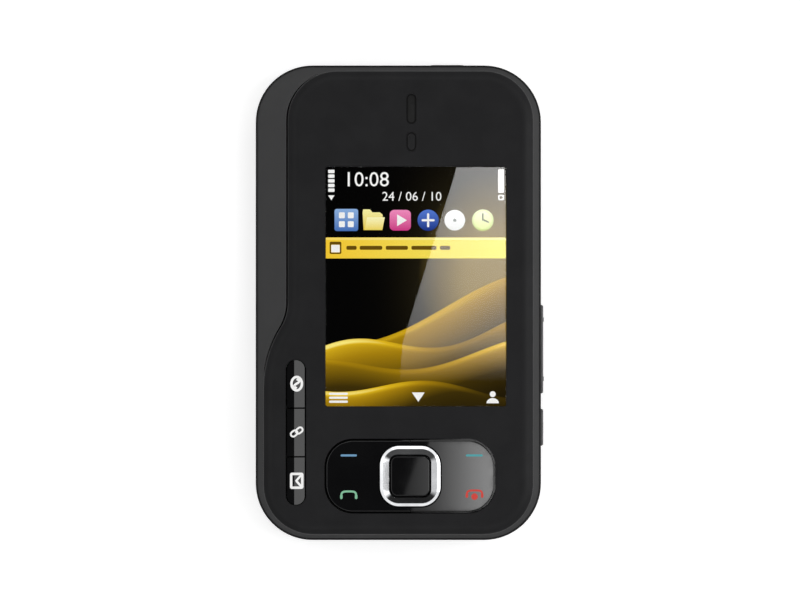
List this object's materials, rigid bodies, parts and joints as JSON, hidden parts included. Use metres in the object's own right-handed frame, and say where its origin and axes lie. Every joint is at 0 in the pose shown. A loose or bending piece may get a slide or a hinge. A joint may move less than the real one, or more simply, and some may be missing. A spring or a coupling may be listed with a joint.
{
  "type": "slider phone",
  "caption": "Pocket phone with a display half that slides sideways off a keyboard half, with a ring pad and side keys.",
  "frame": {"origin": "middle of the flat back, on the battery cover", "axes": "+Z out of the display, +Y to the earpiece end, +X to the side with the volume rocker, which is the way the slider opens"},
  "size_m": [0.0589, 0.0972, 0.0156],
  "materials": {
    "soft_back": "fine-grained matt",
    "dark_shell": "matt",
    "front_shell": "matt with a soft sheen",
    "grey_rim": "satin grey",
    "cell_wrap": "printed film",
    "black_plastic": "moulded",
    "board_green": "solder mask",
    "chip_black": "moulded package",
    "tin": "tinned sheet",
    "dome_film": "clear film over metal domes",
    "mat_rubber": "moulded silicone",
    "keyboard_cap": "satin",
    "chrome": "plated",
    "tinted_glass": "tinted",
    "steel": "drawn",
    "white_plastic": "moulded",
    "edge_key": "satin lacquer",
    "switch_black": "moulded",
    "screw_steel": "blackened",
    "plate_steel": "dark plated sheet",
    "liner_plastic": "sliding-grade plastic",
    "spring_steel": "rolled strip",
    "ribbon_film": "amber film",
    "gloss_key": "high gloss",
    "panel_black": "liquid crystal panel",
    "display_glass": "clear hard-coated window",
    "mesh_black": "woven mesh",
    "smoke_plastic": "smoked lens"
  },
  "bodies": {
    "base": {"antenna": "white_plastic", "base_plate": "plate_steel", "battery": "cell_wrap", "battery_contacts": "black_plastic", "camera_module": "black_plastic", "camera_ring": "chrome", "camera_window": "tinted_glass", "card_holder": "steel", "charging_socket": "steel", "detent_springs": "spring_steel", "edge_switches": "switch_black", "headset_jack": "black_plastic", "keyboard_deck": "grey_rim", "keyboard_domes": "dome_film", "keyboard_mat": "mat_rubber", "loudspeaker": "black_plastic", "main_board": "board_green", "main_chips": "chip_black", "plate_screws": "screw_steel", "rear_shell": "dark_shell", "ribbon_cable": "ribbon_film", "shell_screws": "screw_steel", "shield_cans": "tin", "vibration_motor": "steel"},
    "slider": {"slider_plate": "plate_steel", "rail_liners": "liner_plastic", "slider_back": "dark_shell", "frame_screws": "screw_steel", "slider_front": "front_shell", "slider_screws": "screw_steel", "front_board": "board_green", "front_domes": "dome_film", "keypad_mat": "mat_rubber", "panel_tray": "tin", "display_panel": "panel_black", "display_window": "display_glass", "earpiece": "black_plastic", "earpiece_mesh": "mesh_black", "sensor_lens": "smoke_plastic", "microphone": "tin"},
    "battery_cover": {"battery_cover": "soft_back"},
    "left_key": {"left_key": "gloss_key"},
    "right_key": {"right_key": "gloss_key"},
    "ring_gimbal": {"ring_gimbal": "spring_steel"},
    "nav_ring": {"nav_ring": "chrome"},
    "center_key": {"center_key": "gloss_key"},
    "mail_key": {"mail_key": "gloss_key"},
    "link_key": {"link_key": "gloss_key"},
    "web_key": {"web_key": "gloss_key"},
    "key_row_top": {"key_row_top": "keyboard_cap"},
    "key_row_home": {"key_row_home": "keyboard_cap"},
    "key_row_lower": {"key_row_lower": "keyboard_cap"},
    "key_row_bottom": {"key_row_bottom": "keyboard_cap"},
    "space_bar": {"space_bar": "keyboard_cap"},
    "volume_rocker": {"volume_rocker": "edge_key"},
    "camera_key": {"camera_key": "edge_key"},
    "power_key": {"power_key": "edge_key"}
  },
  "joints": [
    {"name": "slider_slide", "type": "slide", "parent": "base", "child": "slider", "axis": [1, 0, 0], "range_m": [0, 0.029], "deforming": ["ribbon_cable"]},
    {"name": "cover_slide", "type": "slide", "parent": "base", "child": "battery_cover", "axis": [0, -1, 0], "range_m": [0, 0.0625]},
    {"name": "volume_rock", "type": "hinge", "parent": "base", "child": "volume_rocker", "pos_m": [0.0273, -0.0095, 0.00535], "axis": [0, 0, 1], "range_deg": [-1.5, 1.5], "stiffness_Nm_per_rad": 0.3},
    {"name": "camera_key_press", "type": "slide", "parent": "base", "child": "camera_key", "axis": [-1, 0, 0], "range_m": [0, 0.0005], "stiffness_N_per_m": 400, "springref_m": -0.001},
    {"name": "power_key_press", "type": "slide", "parent": "base", "child": "power_key", "axis": [0, -1, 0], "range_m": [0, 0.0004], "stiffness_N_per_m": 400, "springref_m": -0.001},
    {"name": "left_key_rock", "type": "hinge", "parent": "slider", "child": "left_key", "pos_m": [-0.0093, -0.03515, 0.0134], "axis": [1, 0, 0], "range_deg": [-1.5, 1.5], "stiffness_Nm_per_rad": 0.3},
    {"name": "right_key_rock", "type": "hinge", "parent": "slider", "child": "right_key", "pos_m": [0.0141, -0.03515, 0.0134], "axis": [1, 0, 0], "range_deg": [-1.5, 1.5], "stiffness_Nm_per_rad": 0.3},
    {"name": "ring_tilt_up_down", "type": "hinge", "parent": "slider", "child": "ring_gimbal", "pos_m": [0.0024, -0.03515, 0.013], "axis": [1, 0, 0], "range_deg": [-2, 2], "stiffness_Nm_per_rad": 0.3},
    {"name": "ring_tilt_left_right", "type": "hinge", "parent": "ring_gimbal", "child": "nav_ring", "pos_m": [0.0024, -0.03515, 0.01325], "axis": [0, 1, 0], "range_deg": [-2, 2], "stiffness_Nm_per_rad": 0.3},
    {"name": "center_key_press", "type": "slide", "parent": "slider", "child": "center_key", "axis": [0, 0, -1], "range_m": [0, 0.0003], "stiffness_N_per_m": 400, "springref_m": -0.001},
    {"name": "mail_key_press", "type": "slide", "parent": "slider", "child": "mail_key", "axis": [0, 0, -1], "range_m": [0, 0.0003], "stiffness_N_per_m": 400, "springref_m": -0.001},
    {"name": "link_key_press", "type": "slide", "parent": "slider", "child": "link_key", "axis": [0, 0, -1], "range_m": [0, 0.0003], "stiffness_N_per_m": 400, "springref_m": -0.001},
    {"name": "web_key_press", "type": "slide", "parent": "slider", "child": "web_key", "axis": [0, 0, -1], "range_m": [0, 0.0003], "stiffness_N_per_m": 400, "springref_m": -0.001},
    {"name": "key_row_top_press", "type": "slide", "parent": "base", "child": "key_row_top", "axis": [0, 0, -1], "range_m": [0, 0.0003], "stiffness_N_per_m": 400, "springref_m": -0.001},
    {"name": "key_row_home_press", "type": "slide", "parent": "base", "child": "key_row_home", "axis": [0, 0, -1], "range_m": [0, 0.0003], "stiffness_N_per_m": 400, "springref_m": -0.001},
    {"name": "key_row_lower_press", "type": "slide", "parent": "base", "child": "key_row_lower", "axis": [0, 0, -1], "range_m": [0, 0.0003], "stiffness_N_per_m": 400, "springref_m": -0.001},
    {"name": "key_row_bottom_press", "type": "slide", "parent": "base", "child": "key_row_bottom", "axis": [0, 0, -1], "range_m": [0, 0.0003], "stiffness_N_per_m": 400, "springref_m": -0.001},
    {"name": "space_bar_press", "type": "slide", "parent": "base", "child": "space_bar", "axis": [0, 0, -1], "range_m": [0, 0.0003], "stiffness_N_per_m": 400, "springref_m": -0.001}
  ]
}
